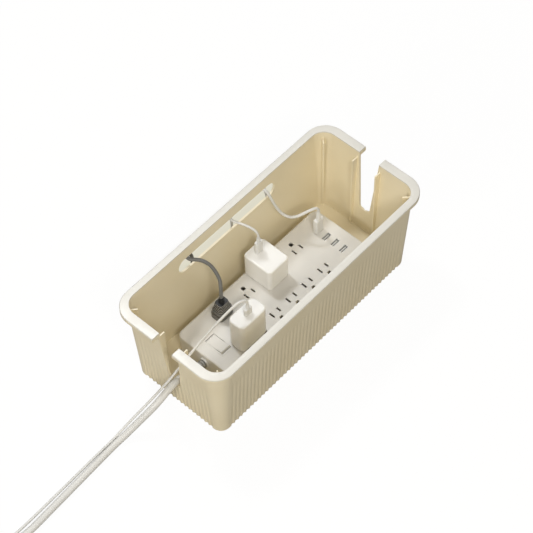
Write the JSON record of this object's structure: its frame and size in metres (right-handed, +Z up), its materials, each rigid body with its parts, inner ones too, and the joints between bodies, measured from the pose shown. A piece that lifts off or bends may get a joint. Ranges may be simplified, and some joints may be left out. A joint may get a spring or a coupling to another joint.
{
  "type": "cable management box",
  "caption": "Open ribbed plastic box holding a power strip with its plugs, chargers and cords; slots in both ends and a cord window in the back wall.",
  "frame": {"origin": "on the ground under the middle of the tub", "axes": "+X along the length away from the end where the mains lead leaves, +Y towards the wall with the cord window, +Z up"},
  "size_m": [0.7602, 0.2505, 0.15],
  "materials": {
    "tub_cream": "satin moulded polypropylene",
    "pad_rubber": "matt",
    "strip_white": "soft gloss",
    "screw_steel": "zinc plated",
    "contact_brass": "plain",
    "board_green": "solder-masked laminate",
    "port_steel": "nickel plated",
    "port_plastic": "plain",
    "lead_white": "flexible vinyl",
    "plug_white": "moulded vinyl",
    "blade_nickel": "nickel-plated brass",
    "plug_dark": "moulded vinyl",
    "cord_grey": "flexible vinyl",
    "charger_white": "gloss"
  },
  "bodies": {
    "box": {"box_tub": "tub_cream", "foot_pads": "pad_rubber", "strip_tray": "strip_white", "strip_cover": "strip_white", "strip_screws": "screw_steel", "line_bus_bars": "contact_brass", "neutral_bus_bars": "contact_brass", "ground_bus_bars": "contact_brass", "usb_board": "board_green", "usb_port_shells": "port_steel", "usb_port_tongues": "port_plastic", "switch_housing": "strip_white", "mains_relief": "plug_white", "mains_cord": "lead_white", "mains_coil": "lead_white", "mains_plug_body": "plug_white", "mains_plug_blades": "blade_nickel", "grey_cord_lift": "cord_grey", "grey_cord_drop": "cord_grey", "grey_cord_coil": "cord_grey", "grey_cord_connector": "cord_grey", "cube_lead_lift": "lead_white", "cube_lead_drop": "lead_white", "cube_lead_coil": "lead_white", "cube_lead_connector": "lead_white", "phone_lead_lift": "lead_white", "phone_lead_run": "lead_white", "phone_lead_coil": "lead_white", "phone_lead_connector": "lead_white", "usb_lead_lift": "lead_white", "usb_lead_drop": "lead_white", "usb_lead_coil": "lead_white", "usb_lead_connector": "lead_white"},
    "rocker": {"switch_rocker": "strip_white"},
    "grey_plug": {"grey_plug_body": "plug_dark", "grey_plug_blades": "blade_nickel"},
    "cube_charger": {"cube_charger_case": "charger_white", "cube_charger_plate": "charger_white", "cube_charger_blades": "blade_nickel", "cube_lead_tip": "port_steel", "cube_lead_grip": "plug_white"},
    "phone_charger": {"phone_charger_case": "charger_white", "phone_charger_plate": "charger_white", "phone_charger_blades": "blade_nickel", "phone_lead_tip": "port_steel", "phone_lead_grip": "plug_white"},
    "usb_plug": {"usb_plug_shell": "port_steel", "usb_plug_insulator": "port_plastic", "usb_plug_grip": "plug_white"}
  },
  "joints": [
    {"name": "rocker_tilt", "type": "hinge", "parent": "box", "child": "rocker", "pos_m": [-0.1015, 0.0047, 0.033], "axis": [1, 0, 0], "range_deg": [0, 12]},
    {"name": "grey_plug_pull", "type": "slide", "parent": "box", "child": "grey_plug", "axis": [0, 0, 1], "range_m": [0, 0.02], "deforming": ["grey_cord_lift"]},
    {"name": "cube_charger_pull", "type": "slide", "parent": "box", "child": "cube_charger", "axis": [0, 0, 1], "range_m": [0, 0.018], "deforming": ["cube_lead_lift"]},
    {"name": "phone_charger_pull", "type": "slide", "parent": "box", "child": "phone_charger", "axis": [0, 0, 1], "range_m": [0, 0.018], "deforming": ["phone_lead_lift"]},
    {"name": "usb_plug_pull", "type": "slide", "parent": "box", "child": "usb_plug", "axis": [0, 0, 1], "range_m": [0, 0.013], "deforming": ["usb_lead_lift"]}
  ]
}
